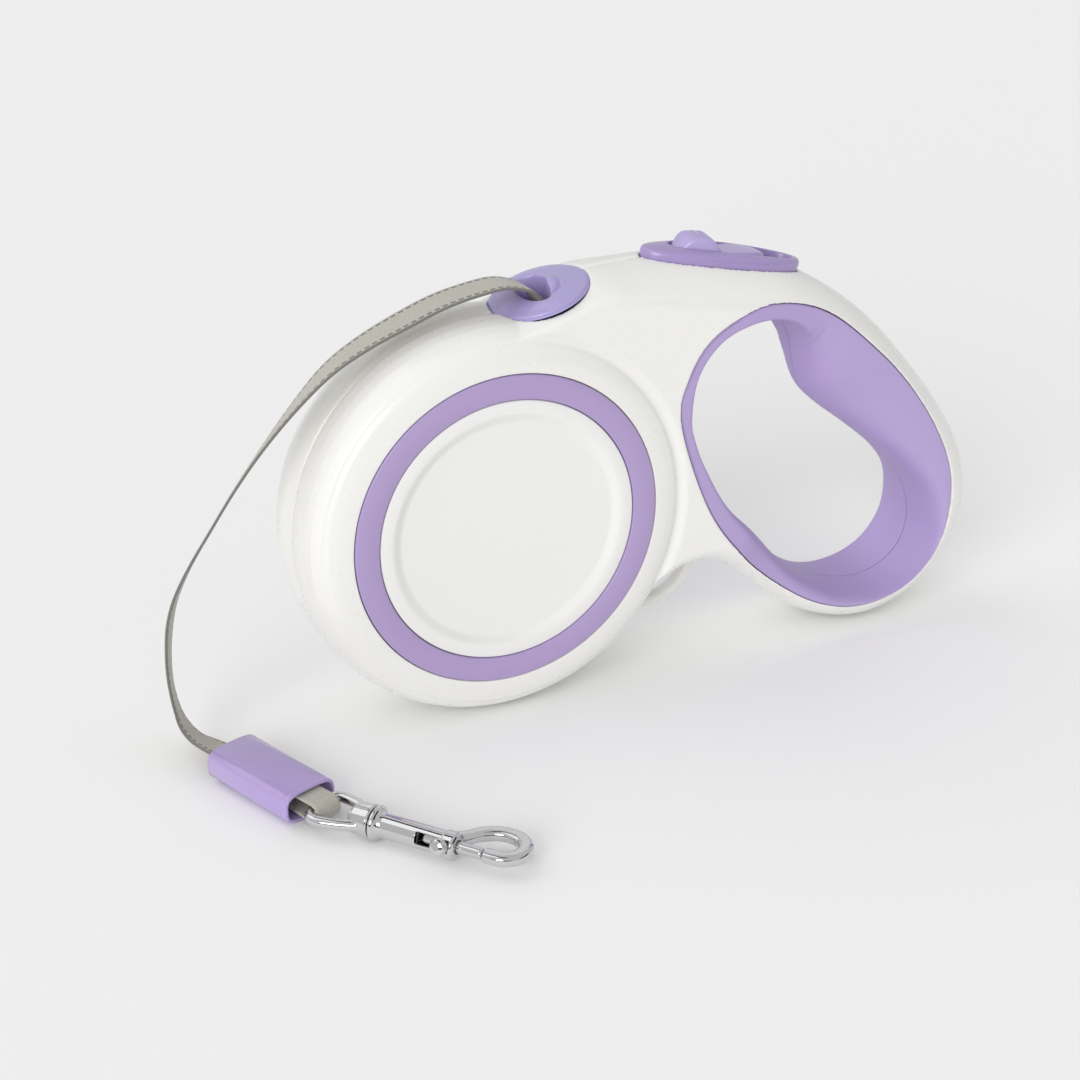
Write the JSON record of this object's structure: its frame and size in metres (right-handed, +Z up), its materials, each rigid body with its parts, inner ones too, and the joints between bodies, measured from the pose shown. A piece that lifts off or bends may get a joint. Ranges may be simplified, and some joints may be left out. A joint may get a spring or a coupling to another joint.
{
  "type": "retractable tape leash",
  "caption": "Hand-held retractable tape leash with round reel housing, looped grip, thumb brake, flared tape nozzle and a swivel bolt snap at the tape's end.",
  "frame": {"origin": "on the floor under the middle of the housing, which stands upright on its reel drum and the foot of its handle", "axes": "+Z up, +X from the tape nozzle end towards the handle, -Y out of the left side, which is the side the snap lies on"},
  "size_m": [0.2595, 0.1144, 0.1311],
  "materials": {
    "white_plastic": "smooth moulded, semi-gloss",
    "lavender_plastic": "smooth moulded, satin",
    "soft_lavender": "soft moulded, matt",
    "inner_plastic": "plain moulded",
    "dark_plastic": "plain moulded",
    "steel": "turned",
    "spring_steel": "drawn, oiled",
    "chrome": "polished",
    "brass": "turned",
    "webbing": "flat woven tape with stitched edges"
  },
  "bodies": {
    "housing": {"left_shell": "white_plastic", "right_shell": "white_plastic", "left_ring_inlay": "lavender_plastic", "right_ring_inlay": "lavender_plastic", "left_side_disc": "white_plastic", "right_side_disc": "white_plastic", "left_grip_inlay": "soft_lavender", "right_grip_inlay": "soft_lavender", "tape_nozzle": "lavender_plastic", "button_bezel": "lavender_plastic", "reel_axle": "steel", "guide_roller_pin": "steel", "pawl_pin": "steel", "button_spring": "spring_steel", "mainspring": "spring_steel", "inner_tape": "webbing", "free_tape": "webbing", "tape_end_loop": "webbing", "tape_sleeve": "lavender_plastic", "housing_screw_1": "steel", "housing_screw_2": "steel", "housing_screw_3": "steel", "housing_screw_4": "steel", "housing_screw_5": "steel", "housing_screw_6": "steel"},
    "reel": {"reel_spool": "inner_plastic", "reel_right_flange": "inner_plastic", "spring_cover": "inner_plastic", "left_bush": "brass", "right_bush": "brass", "wound_tape": "webbing"},
    "roller": {"guide_roller": "dark_plastic"},
    "carrier": {"brake_carrier": "dark_plastic"},
    "button": {"thumb_button": "lavender_plastic"},
    "pawl": {"brake_pawl": "steel"},
    "eye": {"snap_eye": "chrome"},
    "snap": {"snap_body": "chrome", "bolt_spring": "spring_steel"},
    "bolt": {"snap_bolt": "chrome"}
  },
  "joints": [
    {"name": "reel_spin", "type": "hinge", "parent": "housing", "child": "reel", "pos_m": [-0.05315, 0, 0.0586], "axis": [0, 1, 0], "continuous": true},
    {"name": "guide_roller_spin", "type": "hinge", "parent": "housing", "child": "roller", "pos_m": [-0.0352, 0, 0.1055], "axis": [0, 1, 0], "continuous": true},
    {"name": "brake_press", "type": "slide", "parent": "housing", "child": "carrier", "axis": [-0.1745, 0, -0.9847], "range_m": [0, 0.002], "stiffness_N_per_m": 500, "springref_m": -0.003, "deforming": ["button_spring"]},
    {"name": "lock_slide", "type": "slide", "parent": "carrier", "child": "button", "axis": [0.9847, 0, -0.1745], "range_m": [0, 0.005]},
    {"name": "pawl_swing", "type": "hinge", "parent": "housing", "child": "pawl", "pos_m": [-0.02415, 0, 0.1156], "axis": [0, 1, 0], "range_deg": [0, 3.5]},
    {"name": "eye_swing", "type": "hinge", "parent": "housing", "child": "eye", "pos_m": [-0.12265, -0.0486, 0.005], "axis": [-0.8, -0.6, 0], "range_deg": [0, 60]},
    {"name": "snap_swivel", "type": "hinge", "parent": "eye", "child": "snap", "pos_m": [-0.12445, -0.0462, 0.005], "axis": [0.6, -0.8, 0], "continuous": true},
    {"name": "bolt_slide", "type": "slide", "parent": "snap", "child": "bolt", "axis": [-0.6, 0.8, 0], "range_m": [0, 0.0065], "stiffness_N_per_m": 200, "springref_m": -0.005, "deforming": ["bolt_spring"]}
  ],
  "couplings": [
    {"joint": "pawl_swing", "follows": "brake_press", "rad_per_m": 29.4}
  ]
}
